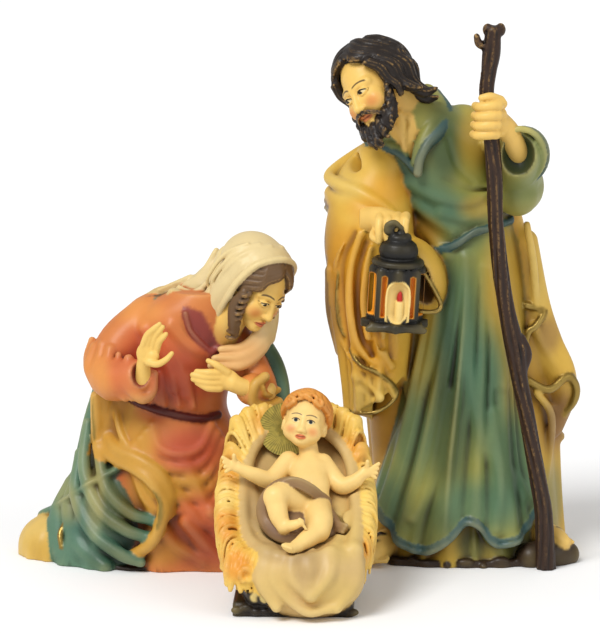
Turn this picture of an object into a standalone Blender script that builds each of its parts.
import math

import bmesh
import bpy
import numpy as np
from mathutils import Matrix

# Sizes in metres that set the whole set
FATHER_HEIGHT = 0.200
MOTHER_HEIGHT = 0.132
CRIB_LENGTH = 0.064
CHILD_HEAD_HEIGHT = 0.0205
HALO_DIAMETER = 0.0205
HALO_THICKNESS = 0.0009
RESTING_GAP = 0.0008

# Where each casting stands on the shelf, in metres from the middle of the set
FATHER_PLACE = (0.0646, 0.006)
MOTHER_PLACE = (-0.0494, 0.002)
CRIB_PLACE = (0.0005, -0.069)

# Each figure is drawn in units of its own: the father is 100 of them tall, the mother 66, the crib 32 long
FATHER_UNIT = FATHER_HEIGHT / 100
MOTHER_UNIT = MOTHER_HEIGHT / 66
CRIB_UNIT = CRIB_LENGTH / 32
CHILD_HEAD_UNITS = 14.0

# How finely the clay is worked, and how many triangles each casting may keep
CLAY_CELL = 0.5
CHILD_CELL = 0.42
FATHER_TRIANGLES = 4000
MOTHER_TRIANGLES = 2800
CRIB_TRIANGLES = 1400
CHILD_TRIANGLES = 1300
FINE_WEIGHT = 0.8
FINE_FACTOR = 16.0

# Edges that fold more sharply than this are shaded sharp
SHARP_ANGLE = math.radians(50)

RESIN_ROUGHNESS = 0.5
FOIL_ROUGHNESS = 0.35
HALO_SIDES = 40

FAR = 1e3
PATH_STEPS = 6


def smooth_path(points, steps=PATH_STEPS):
    """Points on a smooth curve through the given ones, each a place and a radius."""
    keys = np.array(points, float)
    if len(keys) < 3:
        share = np.linspace(0, 1, steps + 1)[:, None]
        return keys[0] * (1 - share) + keys[-1] * share
    ends = np.vstack([2 * keys[0] - keys[1], keys, 2 * keys[-1] - keys[-2]])
    made = []
    for a, b, c, d in zip(ends, ends[1:], ends[2:], ends[3:]):
        for t in np.arange(steps) / steps:
            bend = (2 * a - 5 * b + 4 * c - d) * t**2 + (3 * b - a - 3 * c + d) * t**3
            made.append(0.5 * (2 * b + (c - a) * t + bend))
    return np.array(made + [keys[-1]])


def eased(keys, at):
    """Values on a smooth curve through keys, where the first number of a key is its place."""
    keys = np.array(sorted(keys), float)
    place = keys[:, 0]
    value = keys[:, 1:]
    slope = np.gradient(value, place, axis=0)
    at = np.clip(at, place[0], place[-1])
    i = np.clip(np.searchsorted(place, at) - 1, 0, len(place) - 2)
    span = (place[i + 1] - place[i])[..., None]
    t = (at - place[i])[..., None] / span
    start = value[i] * (1 + 2 * t) * (1 - t) ** 2 + slope[i] * span * t * (1 - t) ** 2
    return start + value[i + 1] * t**2 * (3 - 2 * t) + slope[i + 1] * span * t**2 * (t - 1)


def smoothstep(t):
    t = np.clip(t, 0, 1)
    return t * t * (3 - 2 * t)


def mirrored(points):
    return [(-p[0], *p[1:]) for p in points]


class Pose:
    """Where a part of a figure is and how it turns. A face looks along its -Y, its crown is at +Z."""

    def __init__(self, at=(0, 0, 0), yaw=0, pitch=0, roll=0, size=1.0):
        turn = Matrix.Rotation(math.radians(yaw), 3, "Z") @ Matrix.Rotation(math.radians(pitch), 3, "X")
        self.turn = np.array(turn @ Matrix.Rotation(math.radians(roll), 3, "Y"), float)
        self.at = np.array(at, float)
        self.size = size

    def local(self, x, y, z):
        t = self.turn / self.size
        x = x - self.at[0]
        y = y - self.at[1]
        z = z - self.at[2]
        return [(x * t[0, i] + y * t[1, i] + z * t[2, i]).astype(np.float32) for i in range(3)]

    def outward(self, points):
        return np.array(points, float) @ self.turn.T * self.size + self.at


HERE = Pose()


class Roll:
    """A roll of clay along a smooth path of (x, y, z, radius). It can be pressed flat in one direction."""

    def __init__(self, points, flat=1.0, across=(0, 1, 0), steps=PATH_STEPS):
        self.path = smooth_path(points, steps)
        self.flat = flat
        self.across = np.array(across, float) / np.linalg.norm(across)
        reach = self.path[:, 3:4]
        self.low = (self.path[:, :3] - reach).min(0)
        self.high = (self.path[:, :3] + reach).max(0)

    def distance(self, x, y, z):
        centres = self.path[:, :3]
        if self.flat != 1.0:
            n = self.across
            more = 1 / self.flat - 1
            push = (x * n[0] + y * n[1] + z * n[2]) * more
            x = x + push * n[0]
            y = y + push * n[1]
            z = z + push * n[2]
            centres = centres + n * ((centres @ n)[:, None] * more)
        centres = centres.astype(np.float32)
        radii = self.path[:, 3].astype(np.float32)
        best = None
        for a, b, ra, rb in zip(centres, centres[1:], radii, radii[1:]):
            ab = b - a
            length = max(float(ab @ ab), 1e-9)
            px = x - a[0]
            py = y - a[1]
            pz = z - a[2]
            t = np.clip((px * ab[0] + py * ab[1] + pz * ab[2]) / length, 0, 1)
            d = np.sqrt((px - t * ab[0]) ** 2 + (py - t * ab[1]) ** 2 + (pz - t * ab[2]) ** 2)
            d -= ra + t * (rb - ra)
            best = d if best is None else np.minimum(best, d)
        return best * math.sqrt(self.flat)


class Ball:
    """An egg of clay with three radii, turned on its own."""

    def __init__(self, at, radii, yaw=0, pitch=0, roll=0):
        self.pose = Pose(at, yaw, pitch, roll)
        self.radii = np.full(3, float(radii)) if np.ndim(radii) == 0 else np.array(radii, float)
        self.low = self.pose.at - self.radii.max()
        self.high = self.pose.at + self.radii.max()

    def distance(self, x, y, z):
        p = self.pose.local(x, y, z)
        k0 = np.sqrt(sum((c / r) ** 2 for c, r in zip(p, self.radii)))
        k1 = np.sqrt(sum((c / r**2) ** 2 for c, r in zip(p, self.radii))) + 1e-6
        return k0 * (k0 - 1) / k1


class Block:
    """A box of clay with rounded edges."""

    def __init__(self, at, half, edge=0.3, yaw=0, pitch=0, roll=0):
        self.pose = Pose(at, yaw, pitch, roll)
        self.half = np.array(half, float)
        self.edge = edge
        reach = np.linalg.norm(self.half)
        self.low = self.pose.at - reach
        self.high = self.pose.at + reach

    def distance(self, x, y, z):
        p = self.pose.local(x, y, z)
        q = [np.abs(c) - h + self.edge for c, h in zip(p, self.half)]
        outside = np.sqrt(sum(np.maximum(c, 0) ** 2 for c in q))
        return outside + np.minimum(np.maximum(np.maximum(q[0], q[1]), q[2]), 0) - self.edge


class Gown:
    """Cloth round a body, as rings (z, centre x, centre y, half width, half depth).

    A fold is (angle at its top, angle at its foot, z of its top, z of its foot, width in degrees,
    height). Angle 0 is the front and 90 is +X. The hem is a list of (angle, z). Rings are ellipses at
    corners = 2, and squarer above it."""

    def __init__(self, rings, folds=(), hem=None, top=None, corners=2.0):
        self.corners = corners
        self.rings = rings
        self.folds = folds
        self.hem = hem
        keys = np.array(rings, float)
        self.bottom = keys[:, 0].min()
        self.top = keys[:, 0].max() if top is None else top
        reach = 3.0 + keys[:, 3:5].max(axis=1)
        self.low = np.array([(keys[:, 1] - reach).min(), (keys[:, 2] - reach).min(), self.bottom])
        self.high = np.array([(keys[:, 1] + reach).max(), (keys[:, 2] + reach).max(), self.top])

    def relief(self, angle, z):
        depth = 0.0
        for top_angle, foot_angle, top_z, foot_z, width, height in self.folds:
            t = np.clip((top_z - z) / (top_z - foot_z), 0, 1)
            off = (angle - top_angle - (foot_angle - top_angle) * t + 180) % 360 - 180
            ridge = np.exp(-((off / (width * (0.6 + 0.4 * t))) ** 2))
            depth = depth + height * smoothstep(2.2 * t) * ridge
        return depth

    def front(self, x, z):
        """How far forward the cloth is at a place seen from the front."""
        cx, cy, rx, ry = eased(self.rings, np.float64(z))
        u = np.clip((x - cx) / rx, -0.98, 0.98)
        v = math.sqrt(1 - u * u)
        return cy - ry * v - float(self.relief(np.degrees(np.arctan2(u, v)), z))

    def seam(self, places, radius, proud=0.0, **more):
        """A roll lying on the front of the cloth along places (x, z)."""
        points = [(x, self.front(x, z) - proud, z, radius) for x, z in places]
        return Roll(points, **more)

    def distance(self, x, y, z):
        cx, cy, rx, ry = np.moveaxis(eased(self.rings, z), -1, 0).astype(np.float32)
        u = (x - cx) / rx
        v = (y - cy) / ry
        angle = np.degrees(np.arctan2(u, -v))
        n = self.corners
        out = np.sqrt(u * u + v * v) if n == 2 else (np.abs(u) ** n + np.abs(v) ** n) ** (1 / n)
        d = (out - 1) * (rx + ry) / 2 - self.relief(angle, z)
        foot = self.bottom if self.hem is None else eased(self.hem, angle)[..., 0]
        return np.maximum(np.maximum(d, foot - z), z - self.top)


class Clay:
    """Modelling clay: a grid of distances to its surface, negative inside."""

    def __init__(self, low, high, cell=CLAY_CELL):
        self.cell = cell
        self.axes = [np.arange(a, b + cell, cell, dtype=np.float32) for a, b in zip(low, high)]
        self.depth = np.full([len(a) for a in self.axes], FAR, np.float32)

    def measure(self, form, pose, margin):
        corners = [[(form.low, form.high)[k][i] for i, k in enumerate(c)] for c in np.ndindex(2, 2, 2)]
        corners = pose.outward(corners)
        cut = []
        for axis, low, high in zip(self.axes, corners.min(0) - margin, corners.max(0) + margin):
            start, stop = np.searchsorted(axis, (low, high))
            cut.append(slice(int(start), int(stop)))
        cut = tuple(cut)
        if 0 in self.depth[cut].shape:
            return cut, None
        x, y, z = (a[c] for a, c in zip(self.axes, cut))
        x = x[:, None, None]
        y = y[None, :, None]
        z = z[None, None, :]
        if pose is not HERE:
            x, y, z = pose.local(x, y, z)
        return cut, (form.distance(x, y, z) * pose.size).astype(np.float32)

    def add(self, form, blend=0.6, pose=HERE):
        """Presses a form on, with a fillet about as wide as blend."""
        cut, new = self.measure(form, pose, blend + 2 * self.cell)
        if new is None:
            return
        old = self.depth[cut]
        mix = np.clip(0.5 + 0.5 * (old - new) / blend, 0, 1)
        self.depth[cut] = new * mix + old * (1 - mix) - blend * mix * (1 - mix)

    def carve(self, form, blend=0.4, pose=HERE):
        """Cuts a form out, with its edge rounded about as wide as blend."""
        cut, new = self.measure(form, pose, blend + 2 * self.cell)
        if new is None:
            return
        old = self.depth[cut]
        new = -new
        mix = np.clip(0.5 - 0.5 * (old - new) / blend, 0, 1)
        self.depth[cut] = new * mix + old * (1 - mix) + blend * mix * (1 - mix)

    def seal(self):
        """Keeps the block's sides outside, and fills places where cells meet crosswise and would pinch."""
        d = self.depth
        for axis in range(3):
            for end in (0, -1):
                side = [slice(None)] * 3
                side[axis] = end
                d[tuple(side)] = np.maximum(d[tuple(side)], self.cell)
        changed = True
        while changed:
            changed = False
            for a, b in ((0, 1), (0, 2), (1, 2)):
                q = []
                for i, j in np.ndindex(2, 2):
                    part = [slice(None)] * 3
                    part[a] = slice(i, d.shape[a] - 1 + i)
                    part[b] = slice(j, d.shape[b] - 1 + j)
                    q.append(d[tuple(part)])
                full = [k < 0 for k in q]
                for first, second in ((0, 1), (1, 0)):
                    crossed = full[first] & full[3 - first] & ~full[second] & ~full[3 - second]
                    if crossed.any():
                        changed = True
                        q[second][crossed] = -0.02 * self.cell
                        q[3 - second][crossed] = -0.02 * self.cell

    def skin(self):
        """The clay's surface as points and four-sided faces."""
        self.seal()
        d = self.depth
        inside = d < 0
        cells = np.array(d.shape) - 1
        nx, ny, nz = cells
        count = sum(inside[i:nx + i, j:ny + j, k:nz + k].astype(np.uint8) for i, j, k in np.ndindex(2, 2, 2))
        at = np.argwhere((count > 0) & (count < 8))
        number = np.full(cells, -1, np.int32)
        number[tuple(at.T)] = np.arange(len(at))
        value = {c: d[at[:, 0] + c[0], at[:, 1] + c[1], at[:, 2] + c[2]] for c in np.ndindex(2, 2, 2)}
        total = np.zeros((len(at), 3))
        hits = np.zeros(len(at))
        for a in np.ndindex(2, 2, 2):
            for axis in range(3):
                if a[axis] == 1:
                    continue
                b = tuple(v + (i == axis) for i, v in enumerate(a))
                crosses = (value[a] < 0) != (value[b] < 0)
                place = np.tile(np.array(a, float), (len(at), 1))
                place[:, axis] = value[a] / np.where(crosses, value[a] - value[b], 1)
                total += place * crosses[:, None]
                hits += crosses
        points = (at + total / hits[:, None]) * self.cell + [a[0] for a in self.axes]
        faces = []
        for axis in range(3):
            low = [slice(1, -1)] * 3
            high = [slice(1, -1)] * 3
            low[axis] = slice(0, -1)
            high[axis] = slice(1, None)
            first = inside[tuple(low)]
            found = np.argwhere(first != inside[tuple(high)])
            start = np.ones(3, int)
            start[axis] = 0
            u = np.eye(3, dtype=int)[(axis + 1) % 3]
            v = np.eye(3, dtype=int)[(axis + 2) % 3]
            place = found + start
            ring = [number[tuple((place - i * u - j * v).T)] for i, j in ((1, 1), (0, 1), (0, 0), (1, 0))]
            quad = np.stack(ring, axis=1)
            faces.append(np.where(first[tuple(found.T)][:, None], quad, quad[:, ::-1]))
        return largest_shell(points, np.concatenate(faces))


def largest_shell(points, faces):
    """The outer skin alone, without loose crumbs or sealed hollows."""
    label = np.arange(len(points))
    while True:
        least = label[faces].min(axis=1)
        new = label.copy()
        for i in range(4):
            np.minimum.at(new, faces[:, i], least)
        new = new[new]
        if (new == label).all():
            break
        label = new
    kept = label == np.bincount(label[faces[:, 0]]).argmax()
    index = np.cumsum(kept) - 1
    return points[kept], index[faces[kept[faces[:, 0]]]]


# Heads, hair and hands, in units where a head is 14 tall


def head(clay, pose, jaw=1.0, cheek=0.0):
    clay.add(Ball((0, 1.3, 2.4), (4.9, 5.9, 5.3)), 0.5, pose)
    clay.add(Ball((0, -1.2, -1.7), (4.2 * jaw, 4.3, 5.0)), 1.6, pose)
    clay.add(Ball((0, -3.6, -5.7), (1.8 * jaw, 1.7, 1.4)), 1.2, pose)
    clay.add(Roll([(-3.1, -3.5, 1.4, 0.7), (0, -4.5, 1.25, 0.8), (3.1, -3.5, 1.4, 0.7)]), 0.9, pose)
    for side in (-1, 1):
        clay.add(Ball((2.5 * side, -3.3, -2.2), (1.7, 1.5 + cheek, 1.7)), 1.2, pose)
        clay.add(Ball((4.7 * side, 0.9, -0.6), (0.7, 1.2, 1.6), pitch=-12), 0.4, pose)
        clay.carve(Ball((1.95 * side, -6.0, 0.15), (1.35, 1.25, 0.85)), 0.7, pose)
        clay.add(Ball((1.9 * side, -4.1, 0.1), 1.05), 0.15, pose)
        lid = [(0.95 * side, -4.85, 0.1, 0.2), (1.9 * side, -5.25, 0.6, 0.24), (2.95 * side, -4.5, 0.1, 0.2)]
        clay.add(Roll(lid), 0.2, pose)
        clay.add(Ball((0.78 * side, -5.5, -2.55), 0.55), 0.4, pose)
    clay.add(Roll([(0, -4.9, 0.9, 0.5), (0, -5.7, -0.9, 0.6), (0, -6.2, -2.3, 0.82)]), 0.6, pose)
    upper = [(-1.5, -4.75, -4.25, 0.2), (-0.5, -5.2, -4.0, 0.4), (0.5, -5.2, -4.0, 0.4),
             (1.5, -4.75, -4.25, 0.2)]
    clay.add(Roll(upper), 0.25, pose)
    clay.add(Roll([(-1.2, -4.75, -4.5, 0.2), (0, -5.2, -4.85, 0.48), (1.2, -4.75, -4.5, 0.2)]), 0.25, pose)


def on_skull(around, height, lift=0.0):
    """A place on the hair: the angle round from the face to the left ear, the angle up, and how proud."""
    a = math.radians(around)
    h = math.radians(height)
    out = 1 + lift
    across = math.sin(a) * math.cos(h)
    back = -math.cos(a) * math.cos(h)
    return (5.2 * out * across, 1.7 + 6.1 * out * back, 2.8 + 5.4 * out * math.sin(h))


def lock(start, end, radius, wave=6.0, lift=0.06, flick=0.12, beats=1.5):
    """A lock of hair from one (around, height) to another, waving from side to side."""
    points = []
    for i in range(6):
        t = i / 5
        around = start[0] + (end[0] - start[0]) * t + wave * math.sin(math.tau * beats * t)
        height = start[1] + (end[1] - start[1]) * t
        proud = lift + 0.05 * math.sin(math.pi * t) + flick * t**3
        points.append((*on_skull(around, height, proud), radius * (1 - 0.35 * t)))
    return Roll(points, steps=4)


def flat_mesh(name, points, faces):
    mesh = bpy.data.meshes.new(name)
    mesh.vertices.add(len(points))
    mesh.vertices.foreach_set("co", points.astype(np.float32).ravel())
    mesh.loops.add(faces.size)
    mesh.loops.foreach_set("vertex_index", faces.astype(np.int32).ravel())
    mesh.polygons.add(len(faces))
    mesh.polygons.foreach_set("loop_start", np.arange(0, faces.size, 4, dtype=np.int32))
    mesh.update(calc_edges=True)
    return mesh


# The rough edge of the ground under a figure

GROUND_EDGE = [(angle, angle + 5 * (-1) ** i, 3, -6, 7, 0.7 + 0.3 * math.sin(2.3 * i))
               for i, angle in enumerate(range(-176, 180, 22))]


# The father, who stands and leans towards the child

FATHER_HEM = [(-180, 3), (-110, 8), (-75, 11.4), (-60, 10.5), (-45, 6.6), (-33, 3.7), (-17, 2.9), (-6, 5.3),
              (4, 8.8), (12, 7.6), (19, 4.6), (31, 4.4), (46, 7.3), (55, 9.7), (75, 9.2), (110, 5), (180, 3)]
FATHER_FOLDS = [(-34, -60, 62, 2, 9, 2.0), (-14, -38, 60, 0, 8, 2.0), (2, -14, 62, 2, 8, 2.2),
                (16, 8, 60, 6, 8, 2.0), (30, 32, 60, 2, 9, 2.4), (52, 60, 58, 4, 10, 1.8)]
FATHER_TUNIC = Gown([(-2, -0.5, 0.8, 18.5, 13.2), (4, -0.5, 0.5, 18, 13), (10, -0.3, 0, 17, 12.6),
                     (20, 0, 0, 14.6, 11.4), (33, 0.5, 0, 12.8, 10.6), (50, 1, 0, 11.4, 9.8),
                     (60, 1, 0, 10, 8.8), (64, 0.6, 0, 9.6, 8.4), (70, -2, 0, 10.8, 8.8),
                     (77, -5, -0.3, 11.4, 8.8), (83, -6, -0.8, 10.6, 7.8), (87, -7.4, -1.3, 8, 6.4),
                     (90, -9.5, -2, 5, 4.8)], FATHER_FOLDS, FATHER_HEM)
FATHER_ROBE = Gown([(-2, 0, 0.5, 18.5, 12), (10, 0, 0.5, 15.5, 11), (22, 0, 0.5, 12, 9)],
                   [(-70, -70, 14, -2, 9, 1.2), (-8, -8, 14, -2, 9, 1.4), (24, 24, 14, -2, 8, 1.2)])
FATHER_MANTLE = Gown([(-2, 1.8, 3.5, 18.4, 10.8), (8, 1.4, 4, 17.8, 11), (20, 0.6, 4.5, 17.8, 11),
                      (33, 0, 4.5, 18.2, 10.8), (45, -0.8, 4, 17.2, 10.4), (60, -2.6, 3.5, 16, 9.4),
                      (72, -4.6, 2.5, 14.6, 8.6), (80, -6.2, 1.5, 12.2, 7.4), (85, -7, 1, 8.6, 5.6)],
                     [(-150, -162, 80, -2, 11, 2.2), (-112, -118, 76, -2, 9, 2.0),
                      (168, 174, 78, -2, 10, 2.4),
                      (132, 140, 74, -2, 9, 2.2), (100, 108, 60, -2, 9, 1.8)])
FATHER_SLEEVE = Gown([(26, -17.4, -4, 4.8, 6.5), (34, -16.9, -6, 5.8, 7), (46, -17, -7, 7.2, 7.2),
                      (56, -17.6, -7.6, 8.2, 7.2), (64, -18, -7, 8.6, 7), (70, -17.6, -5, 8.0, 7.4),
                      (76, -16.4, -2, 7.2, 7.4), (81, -14, 0, 5.4, 6)],
                     [(-70, -64, 64, 28, 10, 1.2), (-34, -30, 62, 28, 10, 1.4), (10, 4, 60, 30, 10, 1.2)],
                     [(-180, 27), (-90, 29), (-60, 30.4), (-30, 31), (-5, 32.6), (25, 34.6), (60, 37),
                      (120, 33)])
SLEEVE_EDGE = [(-17.3, 67.6), (-21.2, 64.8), (-23.4, 60.5), (-24.2, 52.3), (-23.2, 46.6), (-20.3, 41.1),
               (-16.7, 39.1), (-13.9, 36.7), (-12.6, 34.2), (-14.2, 32.2), (-17, 31), (-20.4, 30.4),
               (-22.2, 29.6)]
STAFF = [(5.2, -14.2, 104.6, 1.5), (4.9, -14.4, 100.6, 1.75), (4.4, -14.8, 97, 1.5), (4.0, -15.2, 92.5, 1.45),
         (4.9, -15.6, 85, 1.5), (5.6, -16, 77.5, 1.6), (5.9, -16.2, 68.5, 1.55), (7.1, -16, 57.5, 1.6),
         (8.3, -15.8, 50.5, 1.65), (9.9, -15.6, 43.5, 1.95), (10.7, -15.4, 38, 1.6), (12, -15, 31.5, 1.6),
         (13.3, -14.6, 24.5, 1.6), (14.6, -14, 17.5, 1.7), (15.7, -13.4, 11, 1.8), (16.4, -12.6, -2, 2.0)]
FATHER_HEAD = Pose((-17.5, -8, 92.6), yaw=-40, pitch=8, roll=-33, size=1.04)
LANTERN = Pose((-13.6, -20, 56.6), yaw=4, pitch=3, roll=3)

# His locks, each from one place on the skull to another, as (around, height), and how thick it is
FATHER_HAIR = [((10, 70), (86, -2), 1.2), ((20, 80), (104, 4), 1.4), ((40, 84), (128, -10), 1.6),
               ((64, 40), (88, -34), 1.3), ((96, 34), (118, -44), 1.7), ((-12, 70), (-84, 0), 1.1),
               ((-20, 80), (-104, 4), 1.4), ((-70, 20), (-84, -32), 1.1), ((-92, 34), (-110, -40), 1.5),
               ((150, 60), (136, -34), 2.0), ((-170, 66), (-184, -42), 1.8), ((-140, 50), (-144, -42), 1.7),
               ((124, 44), (112, -14), 2.3), ((110, 20), (128, -34), 2.3)]


def fist(clay, pose):
    """A closed hand, its knuckles towards -Y and its four fingers one above another."""
    clay.add(Ball((0, 0, 0), (2.6, 2.4, 3.6)), 0.8, pose)
    for i, reach in enumerate((0.0, 0.35, 0.3, -0.1)):
        z = 2.7 - 1.85 * i
        finger = [(2.3, -1.0, z, 0.95), (0.2, -2.6 - reach, z, 1.0), (-2.1, -1.9 - reach, z - 0.1, 0.9)]
        clay.add(Roll(finger + [(-2.7, 0.2, z - 0.2, 0.8)]), 0.35, pose)
    clay.add(Roll([(1.9, -0.6, 3.6, 1.0), (-0.2, -1.6, 4.3, 0.9), (-1.9, -1.6, 4.0, 0.75)]), 0.4, pose)


def hanging_lantern(clay):
    clay.add(Block((0, 0, -1.2), (4.4, 4.2, 5.8), 1.0, yaw=45), 0.5, LANTERN)
    clay.add(Block((0, 0, -1.2), (4.6, 4.4, 5.8), 1.0), 0.5, LANTERN)
    clay.add(Ball((0, 0, 5.4), (5.3, 5.2, 1.1)), 0.4, LANTERN)
    clay.add(Ball((0, 0, 7.4), (4.0, 3.9, 3.2)), 0.6, LANTERN)
    clay.add(Ball((0, 0, 10.2), (2.6, 2.5, 1.4)), 0.5, LANTERN)
    clay.add(Roll([(-1.0, -0.4, 10.4, 0.9), (-2.4, -0.6, 12.0, 1.2), (-1.2, -0.8, 12.6, 0.9)]), 0.5, LANTERN)
    clay.add(Block((0, 0, -7.6), (5.6, 5.2, 1.0), 0.7), 0.4, LANTERN)
    clay.add(Block((0, 0, -7.6), (5.4, 5.0, 1.0), 0.7, yaw=45), 0.4, LANTERN)
    clay.carve(Roll([(0.4, -5.2, -0.4, 2.4), (0.4, -5.2, -4.2, 2.4)], flat=0.6), 0.3, LANTERN)
    clay.add(Roll([(0.4, -3.9, -6.6, 0.9), (0.4, -3.9, -2.4, 0.9), (0.4, -3.9, -1.2, 0.3)]), 0.2, LANTERN)


def father():
    clay = Clay((-31, -27, -2.5), (27, 19, 111))
    clay.add(FATHER_MANTLE, 0.6)
    clay.add(FATHER_ROBE, 0.6)
    clay.add(FATHER_TUNIC, 0.6)
    clay.add(FATHER_SLEEVE, 0.9)
    # Mantle edge flying out on the side of the staff
    clay.add(Roll([(12.4, 0, 62, 2.4), (14.6, -0.5, 50, 2.6), (16.8, 0, 42, 3.0), (19.4, 0.5, 36, 3.0),
                   (20.2, 2, 31, 2.4), (18, 3, 25, 2.4)], flat=0.8), 1.6)
    clay.add(Roll([(12.4, -3, 50, 0.9), (15.8, -2, 48.6, 0.8), (12.6, -4, 44.3, 0.8), (12.2, -5, 38, 0.8)]),
             0.5)
    clay.add(Roll([(12.2, -5, 35.8, 0.8), (16.9, -3.4, 33.4, 0.9), (20.6, -1.6, 35.6, 0.9),
                   (22.4, -0.6, 33.4, 0.9), (22, 0.4, 30.2, 0.9), (19.4, 2, 26.6, 0.8)]), 0.7)
    # Hood of the mantle over the shoulder, and its folds round the arm
    clay.add(Roll([(-13, 5, 82, 2.2), (-20, 3, 78.4, 1.8), (-24.4, -1.4, 74.6, 1.8), (-22.4, -7.5, 71, 2.0),
                   (-16.5, -11, 67.6, 1.8), (-13, -11.5, 65.4, 1.4)]), 0.8)
    clay.add(Roll([(-25, -1, 72, 1.2), (-21, -9.6, 68.4, 1.3), (-16, -13.2, 65.6, 1.0)]), 0.6)
    clay.carve(Ball((-19.4, -4.6, 77), (4.0, 3.6, 1.5), roll=24, pitch=24), 1.2)
    clay.add(FATHER_SLEEVE.seam(SLEEVE_EDGE, 0.75, 0.15), 0.4)
    # The other side of the hanging sleeve, open towards the front
    clay.add(Ball((-8.6, -9.2, 57.4), (5.0, 5.4, 7.4), roll=-24), 1.0)
    clay.carve(Ball((-9.0, -14.8, 57.2), (2.3, 4.4, 6.0), roll=-26), 0.5)
    clay.add(Roll([(-11, -14.6, 63.4, 0.7), (-7.8, -14.6, 58.4, 0.7), (-4.6, -13.4, 52.6, 0.8),
                   (-5.8, -14.2, 50.6, 0.8), (-8.6, -14.8, 50.8, 0.7)]), 0.4)
    # Arm that holds the lantern out
    clay.add(Roll([(-19, -6, 68, 4.4), (-16.6, -12.5, 67.4, 3.4), (-14.6, -16.5, 68, 2.4)]), 0.9)
    clay.add(Ball((-14.0, -17.4, 67.8), (3.4, 3.0, 2.5), pitch=14), 0.8)
    for x in (-16.0, -14.3, -12.6, -11.0):
        clay.add(Roll([(x + 0.4, -18.0, 69.4, 1.0), (x, -20.0, 68.2, 1.0), (x - 0.1, -19.8, 66.3, 0.9)]),
                 0.35)
    hanging_lantern(clay)
    # Collar, neck and belt
    clay.add(Roll([(-8.6, -1.5, 85, 4.2), (-10.4, -3, 88.4, 4.0), (-12.8, -4.6, 92, 3.8)]), 0.8)
    clay.carve(Ball((-11.6, -8.2, 84.2), (4.2, 2.4, 4.4), roll=-20), 0.5)
    clay.add(Roll([(-9.2, -4, 83, 3.4), (-11, -5, 86, 3.4)]), 0.6)
    clay.add(FATHER_TUNIC.seam([(-17.8, 86.2), (-16.9, 82.4), (-15.4, 80.4)], 1.1, 0.3), 0.4)
    clay.add(FATHER_TUNIC.seam([(-15.4, 80.6), (-12.6, 81.4), (-9.2, 78.6)], 0.8, 0.2), 0.4)
    clay.add(Roll([(-6.4, -1.4, 89.4, 1.2), (-4.2, -5.0, 86.8, 1.3), (-6.4, -7.8, 83.4, 1.2),
                   (-9.2, -9.4, 79.0, 0.8)]), 0.5)
    clay.add(FATHER_TUNIC.seam([(-6.4, 60.6), (-2, 62.6), (2, 65), (6.4, 66.2), (9.4, 66.4)], 0.9, 0.2), 0.35)
    for fold in ([(-14, 76), (-8, 70), (-2, 65.6)], [(-10.6, 75), (-5, 72), (1, 71), (5, 73)],
                 [(-4, 69), (1, 68), (6, 70)], [(-12, 70), (-7, 65), (-3, 61)]):
        clay.add(FATHER_TUNIC.seam(fold, 1.3, -0.6), 1.2)
    # Arm that holds the staff, with its wide cuff
    clay.add(Roll([(0, 1, 83, 5.6), (7.4, 1, 78.4, 5.6), (10.8, -2, 73.6, 4.9), (10.4, -6, 72.2, 4.2)]), 1.2)
    clay.add(Roll([(10, -4, 74, 4.6), (10, -8.4, 78, 4.8), (9.8, -11.6, 80.8, 5.0)], flat=0.9), 0.9)
    clay.carve(Ball((10.0, -15.4, 81.6), (3.7, 4.4, 4.7), pitch=-30), 0.5)
    cuff = [(10.4 + 4.7 * math.sin(a), -12.4 - 2.4 * math.cos(a), 80.6 + 5.6 * math.cos(a), 0.75)
            for a in np.linspace(0, math.tau, 13)]
    clay.add(Roll(cuff, steps=2), 0.4)
    clay.add(Roll([(10.4, -8, 80, 2.6), (9.4, -12.5, 85.6, 2.4), (6.6, -14.6, 88.8, 2.3)]), 0.7)
    fist(clay, Pose((4.4, -15.6, 88.4), yaw=8, roll=4, size=0.98))
    # Staff, with a broken branch, a knot and the web of clay that joins it to the cloth
    clay.add(Roll([(x, y + 2.4, z, r * 0.7) for x, y, z, r in STAFF[5:-1]], steps=3), 0.8)
    clay.add(Roll(STAFF, steps=3), 0.3)
    clay.add(Roll([(4.4, -14.4, 101.8, 1.0), (2.6, -14.6, 102.4, 0.9), (2.2, -14.6, 103.6, 0.7)]), 0.4)
    clay.add(Ball((6.4, -14, 104.8), (1.2, 1.1, 1.4)), 0.4)
    clay.add(Ball((10.4, -16.4, 43.6), (1.2, 1.0, 1.8)), 0.5)
    # Feet and the rough ground they stand on
    clay.add(Roll([(-14.6, -6, 3.4, 2.6), (-16.6, -9.8, 2.4, 2.1), (-17.6, -12, 1.6, 1.4)]), 0.8)
    clay.add(Roll([(16.4, -5.6, 5, 2.6), (18.6, -8, 4.8, 2.0), (20, -9.4, 4.4, 1.3)]), 0.7)
    clay.add(Roll([(13.6, -9.6, 1.4, 3.2), (17.6, -8.4, 1.6, 3.4), (20.6, -6.8, 1.4, 2.6)]), 0.8)
    clay.add(Gown([(-2.5, 1, -0.2, 19, 12.2), (1.2, 1, -0.2, 18.6, 11.8)], GROUND_EDGE, corners=2.6), 0.7)
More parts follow.
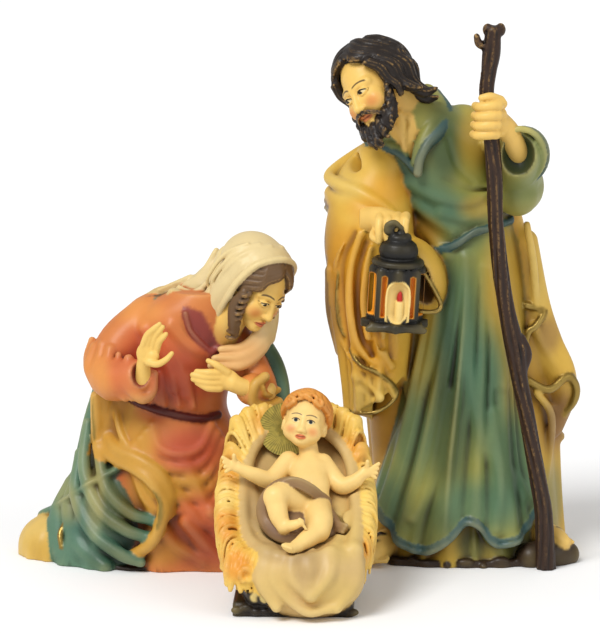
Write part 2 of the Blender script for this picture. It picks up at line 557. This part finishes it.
    # Beard, moustache and hair
    head(clay, FATHER_HEAD, jaw=0.96)
    beard = [(-4.4, -0.2, -0.6, 0.9), (-4.1, -1.8, -3.6, 1.4), (-3.2, -3.2, -6.4, 1.8), (0, -4.4, -7.6, 2.1)]
    clay.add(Roll(beard + mirrored(beard[::-1])[1:], steps=4), 0.5, FATHER_HEAD)
    for i in range(9):
        t = (i - 4) / 4
        x = 4.0 * t
        top = (x, -3.9 + 2.6 * t * t, -6.0 + 1.4 * t * t, 0.9)
        tip = (0.8 * x, -5.0 + 2.6 * t * t, -9.6 + 2.4 * t * t, 0.5)
        middle = (0.95 * x + 0.5, -5.6 + 2.8 * t * t, -7.8 + 2.0 * t * t, 0.9)
        clay.add(Roll([top, middle, tip], steps=3), 0.3, FATHER_HEAD)
    for side in (-1, 1):
        lip = [(0.3 * side, -5.75, -3.25, 0.5), (1.8 * side, -5.2, -3.9, 0.55), (3.1 * side, -3.8, -5.2, 0.5)]
        clay.add(Roll(lip), 0.25, FATHER_HEAD)
    clay.add(Ball((0.2, 2.2, 3.2), (5.3, 6.2, 5.5)), 0.4, FATHER_HEAD)
    for start, end, thick in FATHER_HAIR:
        clay.add(lock(start, end, thick), 0.35, FATHER_HEAD)
    return clay


# The mother, who kneels and bows her head

MOTHER_DRESS = Gown([(-2, 3, -0.6, 19, 12.6), (3, 3, -0.8, 18.6, 12.6), (10, 2.6, -1.4, 17, 12.2),
                   (18, 2, -2.2, 15, 11.8), (25, 1.2, -2.8, 12.6, 10.8), (30.5, 1, -3, 10.6, 8.8),
                   (38, 2.4, -4, 10.6, 8.4), (45, 3.4, -5, 10.8, 8), (50, 4.6, -6, 9.4, 7),
                   (54, 7, -7, 6, 5)],
                  [(6, 30, 26, 0, 9, 1.8), (-20, -12, 24, 0, 8, 1.4), (34, 62, 26, 0, 9, 1.6),
                   (60, 88, 24, 0, 9, 1.4)])
MOTHER_CLOAK = Gown([(-2, -10, 0.5, 14.6, 12), (6, -9, 0.8, 13, 11.6), (14, -7.6, 0.8, 10.4, 11),
                   (22, -6, 0.8, 9.8, 9.8), (30, -4.6, 0.6, 9.6, 8.6), (40, -1.6, -1, 10.6, 7.6),
                   (47, 1.6, -3, 9.4, 6.6), (52, 4.6, -4.6, 7, 5)],
                  [(-70, -64, 34, -2, 9, 1.8), (-38, -46, 26, -2, 9, 1.8), (-14, -20, 22, -2, 8, 1.6),
                   (-104, -104, 44, -2, 10, 2.2), (-140, -132, 46, -2, 10, 2.4), (172, -172, 46, -2, 10, 2.4),
                   (128, 136, 44, -2, 10, 2.4)])
CLOAK_EDGE = [(-14.4, 28.6), (-14.0, 23.8), (-11, 21.6), (-7, 20.4), (-3.6, 18.2), (-1.4, 14.6), (-1.6, 10.6),
              (-3.6, 6.2), (-7, 3.2)]
MOTHER_HEAD = Pose((17.6, -11, 54.8), yaw=40, pitch=30, roll=14, size=0.97)


def mother():
    clay = Clay((-32, -24, -2.5), (32, 16, 71))
    clay.add(MOTHER_CLOAK, 0.6)
    clay.add(MOTHER_DRESS, 0.8)
    # Cloak gathered over the lower legs, and its hem trailing behind
    clay.add(Ball((-9, -4.6, 9), (8.6, 8, 11.6), roll=6), 1.6)
    for path in ([(-14.6, -2, 27, 1.8), (-15.4, -6, 18, 2.0), (-13, -10, 10, 2.0), (-9, -12.6, 4, 1.8)],
                 [(-12, -6, 24, 1.6), (-11.6, -10.4, 15, 1.8), (-8, -12.4, 8, 1.8), (-4.4, -13, 4, 1.4)],
                 [(-8, -9, 21, 1.6), (-6.8, -12, 14, 1.7), (-4, -13.2, 8, 1.6)],
                 [(-16, 2, 15, 2.4), (-18.6, -2, 11, 2.6), (-18, -7, 5, 2.2), (-13.6, -11, 1.6, 1.8)],
                 [(-19, 4, 13, 2.6), (-21.4, 0, 10, 2.6), (-21, -5, 4.6, 2.4), (-17, -9, 1, 2)]):
        clay.add(Roll(path), 1.1)
    clay.add(Ball((-22, 2.4, 1.2), (7.6, 7.2, 6.6), yaw=-14, roll=8), 1.6)
    clay.add(Roll([(-22, 5, 6, 1.2), (-26, 2, 3.2, 1.3), (-28, -0.6, 0, 1.4)]), 0.6)
    clay.add(Roll([(-19, 0, 6, 1.2), (-22.6, -3, 3.4, 1.3), (-24, -5.6, 0, 1.2)]), 0.6)
    clay.add(MOTHER_DRESS.seam([(x + 0.8, z) for x, z in CLOAK_EDGE], 0.9, 1.6), 0.8)
    # Folds of the skirt over the lap
    for sag in range(4):
        drop = 3.2 * sag
        reach = 5.4 + 1.2 * sag
        lap = [(2.4 - reach, 28.4 - 0.5 * drop), (1.2 - 0.5 * reach, 24.6 - drop), (2.6, 23.2 - drop),
               (4 + 0.5 * reach, 24.2 - drop), (3.6 + reach, 28 - 0.6 * drop)]
        clay.add(MOTHER_DRESS.seam(lap, 1.2, -0.5), 1.0)
    clay.add(MOTHER_DRESS.seam([(8.6, 12), (13, 7), (18, 4)], 1.7, -0.4), 1.2)
    clay.add(MOTHER_DRESS.seam([(4, 10), (9, 4), (14, 1)], 1.6, -0.4), 1.2)
    clay.add(Ball((9.5, -11.6, 1.8), (5.6, 2.6, 3.2), roll=12), 1.0)
    clay.add(MOTHER_DRESS.seam([(-8, 33.4), (-4.4, 32.2), (1, 30.8), (6.4, 29.6), (10, 29.8)], 0.95, 0.3),
             0.35)
    # Arm with the open hand raised, seen palm first
    clay.add(Roll([(-3.4, -4, 47.6, 4.8), (-8.4, -6, 43.4, 4.8), (-11, -8.4, 39.2, 4.2),
                   (-9.8, -12, 37.6, 4.2), (-5.6, -15, 38.4, 3.6)]), 1.0)
    for path in ([(-13.6, -8, 43, 1.2), (-14.6, -10, 39, 1.2), (-11, -13, 35, 1.2)],
                 [(-10.6, -10.6, 43, 1.2), (-11, -13, 39, 1.2), (-7.6, -15.6, 35, 1.1)],
                 [(-7, -14.6, 42, 1.0), (-7.4, -16.8, 38, 1.1), (-4.6, -17.4, 35, 1.1),
                  (-2.6, -16.6, 36, 1.0), (-2.2, -16, 39.4, 0.9)]):
        clay.add(Roll(path), 0.7)
    clay.carve(Ball((-4.8, -18, 40), (1.8, 2.2, 2.4)), 0.6)
    clay.add(Roll([(-5.4, -15.6, 38.6, 2.2), (-5.4, -17, 42.6, 1.7), (-4.8, -17.4, 44.6, 1.8)]), 0.5)
    clay.add(Ball((-4.2, -18.4, 45.8), (2.6, 1.5, 2.8), roll=30), 0.6)
    for x, z in ((-5.2, 48.2), (-4.0, 47.8), (-2.9, 47.1), (-2.1, 46.0)):
        clay.add(Roll([(x, -18.6, z, 0.85), (x + 1.9, -19.2, z + 2.4, 0.78),
                       (x + 3.8, -19.2, z + 3.4, 0.62)]), 0.25)
    clay.add(Roll([(-3.6, -19, 44.2, 0.95), (-1.2, -20, 44, 0.85), (1.0, -20, 45.2, 0.65)]), 0.3)
    # Arm bent across, with the hand laid on the breast
    clay.add(Roll([(12.4, -6, 45, 3.8), (15.4, -8, 40.4, 3.6), (17.8, -11, 35.8, 3.5),
                   (16.4, -13.4, 35.8, 3.0)]), 1.0)
    clay.add(Roll([(19.6, -12.6, 35.6, 2.9), (15.4, -14.6, 36.4, 2.0), (13, -15, 37.4, 1.9)]), 0.6)
    clay.add(Roll([(21.4, -12, 33, 1.2), (18.6, -14.4, 32.6, 1.3), (16.8, -15.4, 34, 1.2),
                   (17, -15.8, 37, 1.1), (19, -14.6, 38.6, 1.0)]), 0.5)
    clay.add(Ball((11, -14.8, 38.2), (3.0, 1.5, 2.2), roll=-8), 0.6)
    for i, z in enumerate((39.8, 38.8, 37.7, 36.6)):
        out = (0.6, 0.0, -0.1, -0.8)[i]
        clay.add(Roll([(10, -15, z, 0.85), (7.2, -15.2, z + 0.4, 0.75), (5.4 - out, -14.6, z + 1.0, 0.6)]),
                 0.3)
    # Folds of the breast and sleeves, neck and collar
    for fold in ([(-4, 47), (0, 42), (1.6, 36)], [(1, 48), (5, 44), (10, 42)],
                 [(-6, 42), (-3, 38), (-1, 33.6)]):
        clay.add(MOTHER_DRESS.seam(fold, 1.3, -0.6), 1.2)
    clay.add(Roll([(9.4, -8, 44, 3.6), (11.6, -9.4, 48, 3.3), (14.4, -10.6, 52, 3.2)]), 0.8)
    clay.add(MOTHER_DRESS.seam([(3.6, 51), (4.6, 46.8), (7.6, 45.4), (9, 42.6)], 1.2, 0.3), 0.5)
    clay.add(MOTHER_DRESS.seam([(9, 42.6), (11.4, 44.6), (13.6, 44.2)], 0.9, 0.4), 0.4)
    # Hair, and the veil over it
    head(clay, MOTHER_HEAD, jaw=0.9)
    clay.add(Ball((0, 1.9, 3.0), (5.3, 6.2, 5.6)), 0.4, MOTHER_HEAD)
    for side in (-1, 1):
        for i in range(4):
            path = lock(((4 + 2 * i) * side, 50 + 10 * i), ((78 + 4 * i) * side, 22 * i - 34), 1.1, wave=5,
                        flick=0.02, lift=0.03)
            clay.add(path, 0.35, MOTHER_HEAD)
        clay.add(Roll([(5.0 * side, -1.4, 0, 1.2), (5.2 * side, -1.2, -3.4, 1.3),
                       (4.4 * side, -2.4, -6.2, 1.3), (3.4 * side, -3.2, -8.2, 1.1)]), 0.4, MOTHER_HEAD)
    clay.add(Ball((0, 4.3, 3.2), (6.7, 6.9, 6.3)), 0.5, MOTHER_HEAD)
    clay.add(Ball((0, 2.4, 4.9), (6.2, 4.4, 4.6)), 0.6, MOTHER_HEAD)
    rim = [(-5.4, 2.2, -8.0, 0.8), (-6.3, 1.4, -3.6, 0.9), (-6.8, 0.4, 2.0, 0.9), (-5.2, -0.9, 6.9, 0.8),
           (0, -1.9, 9.2, 0.8)]
    clay.add(Roll(rim + mirrored(rim[::-1])[1:], steps=4), 0.6, MOTHER_HEAD)
    clay.add(Roll([(15.6, -3, 60, 4.0), (10.4, -2, 55.4, 4.0), (6.4, -3.4, 52.4, 3.2), (6.2, -8.4, 51, 2.0)]),
             1.2)
    clay.add(Roll([(12, -6.6, 60, 2.6), (9.6, -9, 55, 1.6), (7.6, -10, 52, 1.2), (4.4, -9.6, 51.8, 1.2),
                   (1.4, -7.6, 53.4, 1.2)]), 0.7)
    clay.add(Roll([(3, -2, 51.6, 2.4), (-1, -1.6, 51.8, 2.0), (-4.4, -2, 50, 1.6)]), 1.2)
    for path in ([(18.6, -7.6, 50, 1.8), (18, -10.4, 46, 2.0), (14.6, -12.6, 42.4, 1.8), (9, -13.6, 42, 1.2)],
                 [(18.4, -8, 47, 1.8), (17, -11, 43.4, 1.8), (13.6, -13.2, 40.8, 1.6),
                  (8, -13.8, 40.4, 1.0)]):
        clay.add(Roll(path), 0.8)
    clay.add(Gown([(-2.5, 1, -1, 20, 12.4), (1, 1, -1, 19.6, 12)], GROUND_EDGE, corners=2.4), 0.7)
    return clay


# The crib: a trough of straw on a slab of ground, with a blanket hanging over its foot

CRIB_BODY = Gown([(1, 0, -0.5, 9.6, 11.4), (6, 0, -0.4, 10.2, 12), (11, -0.2, 0, 12.4, 13.2),
                  (20, -0.2, 0.8, 13.2, 14.2), (28, 0, 1.2, 13.4, 14.8), (38, 0, 1.6, 13.4, 15)], corners=3.0)
CRIB_SLOPE = 0.65
CRIB_WALL_TOP = 18.0
CHILD_LIES = Pose((2.6, -3.0, 18.6), pitch=-49, roll=3)
CHILD_HEAD_SIZE = CHILD_HEAD_HEIGHT / CRIB_UNIT / CHILD_HEAD_UNITS
CHILD_HEAD = Pose((1.6, 7.4, 32.2), yaw=-4, pitch=-20, roll=9, size=CHILD_HEAD_SIZE)
HALO_POSE = Pose((-1.9, 11.2, 30.4), yaw=-4, pitch=-22)


def crib_rim(around):
    """A place on the rim: the angle round from the foot towards +X. The head end stands higher."""
    a = math.radians(around)
    square = (abs(math.sin(a)) ** 3.2 + abs(math.cos(a)) ** 3.2) ** (-1 / 3.2)
    y = 0.8 - 14.0 * square * math.cos(a)
    return (13.0 * square * math.sin(a), y, CRIB_WALL_TOP + 0.6 + CRIB_SLOPE * y)


def crib():
    clay = Clay((-20, -22, -2.5), (20, 21, 41))
    clay.add(CRIB_BODY, 0.6)
    tilt = math.degrees(math.atan(CRIB_SLOPE))
    clay.carve(Block((0, -5.6, CRIB_WALL_TOP + 8.6), (24, 30, 10), 0.5, pitch=tilt), 0.6)
    # Blanket over the foot, falling nearly to the ground
    clay.add(Ball((2.4, -12.4, 7.4), (10.4, 5.4, 7.6)), 1.4)
    clay.add(Ball((1.4, -9.6, 10.6), (11.6, 7.4, 3.6), pitch=20), 1.6)
    # Bed of the blanket
    clay.carve(Ball((0.5, 3, 27.4), (10.2, 13.4, 7.2), pitch=38), 1.0)
    clay.carve(Ball((0.5, -7.6, 18.6), (9.6, 11, 5), pitch=22), 1.0)
    # Straw rim, twisted and ragged, broad on one side and standing up at the head end
    for i in range(30):
        around = 26 + 308 * i / 29
        x, y, z = crib_rim(around)
        away = np.array([x, y, 0]) / math.hypot(x, y)
        ragged = 0.6 * math.sin(2.1 * i) + 0.4 * math.sin(5.3 * i)
        corner = 5.6 * smoothstep((y - 6) / 6) * smoothstep((abs(x) + 1) / 7)
        broad = 1.0 if x < 0 else 0.0
        top = away * (0.5 + 0.4 * ragged) + (x, y, z + corner + 0.5 * ragged)
        inner = (x - (0.8 + broad) * away[0], y - (0.8 + broad) * away[1], z - 0.6 + 0.4 * corner)
        outer = (x + 1.3 * away[0], y + 1.3 * away[1], z - 4.6 + ragged)
        clay.add(Roll([(*inner, 1.3), (*top, 1.35), (*outer, 1.1)], steps=4), 0.6)
    # Blanket's edge inside the straw, and its folds
    for path in ([(-4, 13.6, 31, 1.2), (-8.6, 9, 26, 1.2), (-9.8, 0, 18.4, 1.3), (-8.8, -7, 13.8, 1.3),
                  (-6.4, -11.6, 12.2, 1.3)],
                 [(4, 13.8, 31, 1.1), (9.6, 9, 26, 1.1), (11.2, 0, 19, 1.2), (11.2, -7, 15, 1.4),
                  (10.4, -12, 12.4, 1.6)],
                 [(-6.4, -11.6, 12.2, 1.3), (-3.4, -14.6, 11.8, 1.1), (-1.4, -13.6, 11.4, 1.0)]):
        clay.add(Roll(path), 1.0)
    for path in ([(-0.4, -14.8, 12, 1.2), (-0.6, -17, 8.6, 1.2), (2.4, -17.6, 5.4, 1.1)],
                 [(6.4, -14.6, 12.4, 1.4), (6.0, -17, 9, 1.3), (3.0, -17.6, 5.2, 1.1)],
                 [(10.8, -12.4, 12.4, 1.6), (10.8, -14.2, 7, 1.4), (7.6, -16.4, 2.6, 1.1)],
                 [(-5.6, -13, 12, 1.4), (-6.4, -15, 7.6, 1.3), (-3.6, -16.6, 2.8, 1.1)]):
        clay.add(Roll(path), 0.9)
    # Straw hanging down at the corner, log ends and the slab
    for i in range(8):
        x = -12.6 + 1.1 * i
        drop = 6.4 + 1.3 * math.sin(2.7 * i)
        clay.add(Roll([(x * 0.96, -11.0, 11.4, 1.2), (x, -13.0 - 0.1 * i, 9.4, 1.3), (x, -13.2, drop, 0.8)],
                      steps=4), 0.6)
    for x, y, tilt in ((-8.6, -11.4, 20), (-3.4, -12.4, -16), (8.2, -10.4, -20)):
        clay.add(Roll([(x, y + 7, 3.2, 1.7), (x + 0.05 * tilt, y - 1.2, 4.0, 1.7)]), 0.4)
    for x in (-8.2, 8.2):
        clay.add(Roll([(x, 12.6, 3.2, 1.8), (x, 6, 4.2, 1.8)]), 0.4)
    clay.add(Block((-0.2, -0.8, 0.2), (11.2, 12.0, 2.6), 0.9, yaw=-2), 0.5)
    return clay


def child():
    clay = Clay((-17, -22, 6), (19, 19, 43), CHILD_CELL)
    lies = CHILD_LIES
    clay.add(Ball((0, 0.4, 1.2), (3.9, 3.0, 3.2)), 1.0, lies)
    clay.add(Ball((-0.2, -0.3, 4.6), (3.7, 2.9, 3.6)), 1.2, lies)
    clay.add(Ball((-0.4, 0, 8.2), (3.9, 2.6, 3.2)), 1.2, lies)
    clay.add(Roll([(-0.6, -0.2, 10.2, 2.0), (-0.9, -0.4, 13.2, 1.8)]), 0.8, lies)
    head(clay, CHILD_HEAD, jaw=0.98, cheek=0.3)
    clay.add(Ball((0, 1.9, 2.9), (5.3, 6.2, 5.6)), 0.4, CHILD_HEAD)
    for i in range(11):
        around = -96 + 19 * i
        foot = 40 - 0.5 * abs(around) * (abs(around) > 30)
        curl = lock((0.4 * around, 78 - 0.12 * abs(around)), (around, foot), 1.15, wave=9, flick=0.06)
        clay.add(curl, 0.3, CHILD_HEAD)
    for side in (-1, 1):
        clay.add(Ball((5.4 * side, 1.4, -2.6), (1.1, 1.5, 2.2)), 0.5, CHILD_HEAD)
    # Arms spread wide over the edge of the straw
    for side, shoulder, elbow, forearm, wrist in (
            (-1, (-1.4, 5.2, 25.6), (-4.6, 2.2, 22.8), (-7.6, 1.0, 23.8), (-10.6, 0.8, 25.2)),
            (1, (5.0, 5.0, 25.2), (8.2, 2.0, 21.8), (10.6, 1.0, 22.4), (12.4, 0.8, 24.0))):
        clay.add(Roll([(*shoulder, 1.9), (*elbow, 1.75), (*forearm, 1.45), (*wrist, 1.05)]), 0.7)
        palm = (wrist[0] + 0.8 * side, wrist[1], wrist[2] + 0.5)
        clay.add(Ball(palm, (1.4, 0.9, 1.3), roll=-30 * side), 0.4)
        for k in range(4):
            tip = (palm[0] + (2.3 - 0.2 * k) * side, palm[1] - 0.2, palm[2] + 1.6 - 0.9 * k)
            clay.add(Roll([(*palm, 0.6), (*tip, 0.42)], steps=2), 0.25)
        clay.add(Roll([(*palm, 0.6), (palm[0] + 0.2 * side, palm[1] - 0.6, palm[2] + 2.1, 0.45)], steps=2),
                 0.25)
    # One leg bent with its foot drawn in, the other stretched across
    clay.add(Roll([(1.2, -3.6, 18.6, 2.8), (-2.2, -6.4, 21.6, 2.4), (-3.8, -8.2, 21.8, 2.2)]), 0.8)
    clay.add(Roll([(-3.8, -8.2, 21.6, 2.1), (-3.2, -9.6, 18.6, 1.8), (-2.2, -10.6, 16.6, 1.3)]), 0.6)
    clay.add(Roll([(-2.2, -10.6, 16.6, 1.2), (-0.6, -11.8, 17.2, 1.0), (0.9, -12.4, 17.9, 0.7)]), 0.5)
    clay.add(Roll([(3.6, -4.2, 18.2, 2.9), (4.4, -7.8, 17.0, 2.5), (4.2, -9.6, 15.6, 2.1)]), 0.8)
    clay.add(Roll([(4.2, -9.6, 15.6, 2.0), (2.0, -12.2, 14.6, 1.7), (0.2, -14.2, 13.8, 1.2)]), 0.6)
    clay.add(Roll([(0.2, -14.2, 13.8, 1.2), (-0.8, -15.6, 13.8, 1.0), (-1.9, -16.4, 14.3, 0.7)]), 0.5)
    # Loincloth
    for path in ([(5.6, -2.2, 19.2, 1.3), (2.8, -5.6, 22.6, 1.0), (-0.6, -6.2, 24.2, 1.1),
                  (-4.0, -5.6, 22.8, 1.3), (-6.0, -5.6, 19.6, 1.4), (-5.6, -6.8, 16.6, 1.4),
                  (-3.2, -9.2, 14.6, 1.3), (0.4, -9.8, 14.2, 1.1)],
                 [(5.8, -2.6, 17.6, 1.4), (7.2, -5.4, 15.8, 1.4), (9.0, -7.4, 15.6, 0.9)]):
        clay.add(Roll(path), 0.6)
    clay.add(Ball((-1.4, -5.6, 16.2), (4.6, 4.0, 3.0), pitch=24), 1.0)
    clay.add(Ball((5.8, -4.6, 15.4), (2.8, 3.4, 1.6), pitch=28), 0.8)
    return clay


def rested(clay, other, gap):
    """Cuts away what would come nearer than the gap to a piece lying in this one."""
    fill = eased_field(other, clay.axes)
    clay.depth = np.maximum(clay.depth, gap - fill)


def eased_field(clay, axes):
    """The distances of one block of clay, read at the places of another's grid."""
    index = []
    share = []
    for own, wanted in zip(clay.axes, axes):
        at = np.clip((wanted - own[0]) / clay.cell, 0, len(own) - 1.001)
        index.append(at.astype(int))
        share.append((at - index[-1]).astype(np.float32))
    total = np.zeros([len(a) for a in axes], np.float32)
    for corner in np.ndindex(2, 2, 2):
        weight = 1.0
        for axis, step in enumerate(corner):
            w = share[axis] if step else 1 - share[axis]
            weight = weight * w.reshape([-1 if i == axis else 1 for i in range(3)])
        total += weight * clay.depth[np.ix_(*[i + s for i, s in zip(index, corner)])]
    for axis, (own, wanted) in enumerate(zip(clay.axes, axes)):
        away = np.maximum(np.maximum(own[0] - wanted, wanted - own[-1]), 0)
        total += away.reshape([-1 if i == axis else 1 for i in range(3)])
    return total


def material(name, colour, roughness, metallic=0.0):
    made = bpy.data.materials.new(name)
    made.use_nodes = True
    shader = made.node_tree.nodes["Principled BSDF"]
    shader.inputs["Base Color"].default_value = (*colour, 1)
    shader.inputs["Roughness"].default_value = roughness
    shader.inputs["Metallic"].default_value = metallic
    return made


def thinned(made, points, triangles, fine):
    """Thins a skin to a number of triangles, and less so round each place (x, y, z, radius) in fine."""
    near = np.zeros(len(points), bool)
    for *centre, reach in fine:
        near |= np.linalg.norm(points - centre, axis=1) < reach
    group = made.vertex_groups.new(name="coarse")
    group.add(np.flatnonzero(~near).tolist(), 1.0, "REPLACE")
    group.add(np.flatnonzero(near).tolist(), FINE_WEIGHT, "REPLACE")
    thin = made.modifiers.new("thin", "DECIMATE")
    thin.vertex_group = group.name
    thin.vertex_group_factor = FINE_FACTOR
    thin.ratio = triangles / (2 * len(made.data.polygons))
    thin.use_collapse_triangulate = True
    made.data = bpy.data.meshes.new_from_object(made.evaluated_get(bpy.context.evaluated_depsgraph_get()))
    made.modifiers.clear()
    made.vertex_groups.clear()


def casting(name, clay, unit, place, triangles, colour, stands=True, fine=()):
    """Makes one casting out of its clay, cut flat underneath if it stands on the shelf."""
    points, faces = clay.skin()
    made = bpy.data.objects.new(name, flat_mesh(name, points, faces))
    bpy.context.scene.collection.objects.link(made)
    thinned(made, points, triangles, fine)
    made.data.name = name
    form = bmesh.new()
    form.from_mesh(made.data)
    if stands:
        everything = form.verts[:] + form.edges[:] + form.faces[:]
        bmesh.ops.bisect_plane(form, geom=everything, plane_co=(0, 0, 0), plane_no=(0, 0, -1),
                               clear_outer=True)
        bmesh.ops.holes_fill(form, edges=[e for e in form.edges if e.is_boundary])
    bmesh.ops.triangulate(form, faces=form.faces[:])
    bmesh.ops.scale(form, vec=(unit, unit, unit), verts=form.verts[:])
    form.to_mesh(made.data)
    form.free()
    made.data.shade_smooth()
    made.data.set_sharp_from_angle(angle=SHARP_ANGLE)
    made.data.materials.append(material(name, colour, RESIN_ROUGHNESS))
    made.location = (*place, 0)
    return made


def halo_disc():
    form = bmesh.new()
    radius = HALO_DIAMETER / 2
    bmesh.ops.create_cone(form, cap_ends=True, segments=HALO_SIDES, radius1=radius, radius2=radius,
                          depth=HALO_THICKNESS)
    bmesh.ops.rotate(form, cent=(0, 0, 0), matrix=Matrix.Rotation(math.pi / 2, 3, "X"), verts=form.verts[:])
    mesh = bpy.data.meshes.new("halo")
    form.to_mesh(mesh)
    form.free()
    mesh.shade_smooth()
    mesh.set_sharp_from_angle(angle=SHARP_ANGLE)
    mesh.materials.append(material("halo", (0.55, 0.45, 0.12), FOIL_ROUGHNESS, 1.0))
    made = bpy.data.objects.new("halo", mesh)
    bpy.context.scene.collection.objects.link(made)
    made.location = HALO_POSE.at * CRIB_UNIT + (*CRIB_PLACE, 0)
    made.rotation_euler = Matrix(HALO_POSE.turn.tolist()).to_euler()
    return made


def stand_together(pieces):
    """Parents the pieces to one empty, and moves it so that the origin is under the middle of the set."""
    middle = bpy.data.objects.new("set", None)
    bpy.context.scene.collection.objects.link(middle)
    bpy.context.view_layer.update()
    corners = np.array([piece.matrix_world @ v.co for piece in pieces for v in piece.data.vertices])
    for piece in pieces:
        piece.parent = middle
    low = corners.min(axis=0)
    high = corners.max(axis=0)
    middle.location = (-(low[0] + high[0]) / 2, -(low[1] + high[1]) / 2, 0)


for old in list(bpy.data.objects):
    bpy.data.objects.remove(old)

gap = RESTING_GAP / CRIB_UNIT
halo_radius = HALO_DIAMETER / 2 / CRIB_UNIT + gap
halo_room = Block((0, 0, 0), (halo_radius, HALO_THICKNESS / 2 / CRIB_UNIT + gap, halo_radius), 0.1)
infant = child()
infant.carve(halo_room, 0.1, HALO_POSE)
manger = crib()
manger.carve(halo_room, 0.1, HALO_POSE)
rested(manger, infant, gap)
stand_together([
    casting("father", father(), FATHER_UNIT, FATHER_PLACE, FATHER_TRIANGLES, (0.25, 0.38, 0.3),
            fine=[(*FATHER_HEAD.at, 10), (4.4, -15.6, 88.4, 5), (*LANTERN.at, 10), (-14, -18, 68, 4)]),
    casting("mother", mother(), MOTHER_UNIT, MOTHER_PLACE, MOTHER_TRIANGLES, (0.6, 0.25, 0.15),
            fine=[(*MOTHER_HEAD.at, 7), (-3, -18, 46, 5), (9, -15, 38, 5)]),
    casting("child", infant, CRIB_UNIT, CRIB_PLACE, CHILD_TRIANGLES, (0.75, 0.55, 0.3), stands=False,
            fine=[(*CHILD_HEAD.at, 6)]),
    casting("crib", manger, CRIB_UNIT, CRIB_PLACE, CRIB_TRIANGLES, (0.7, 0.5, 0.2)),
    halo_disc(),
])
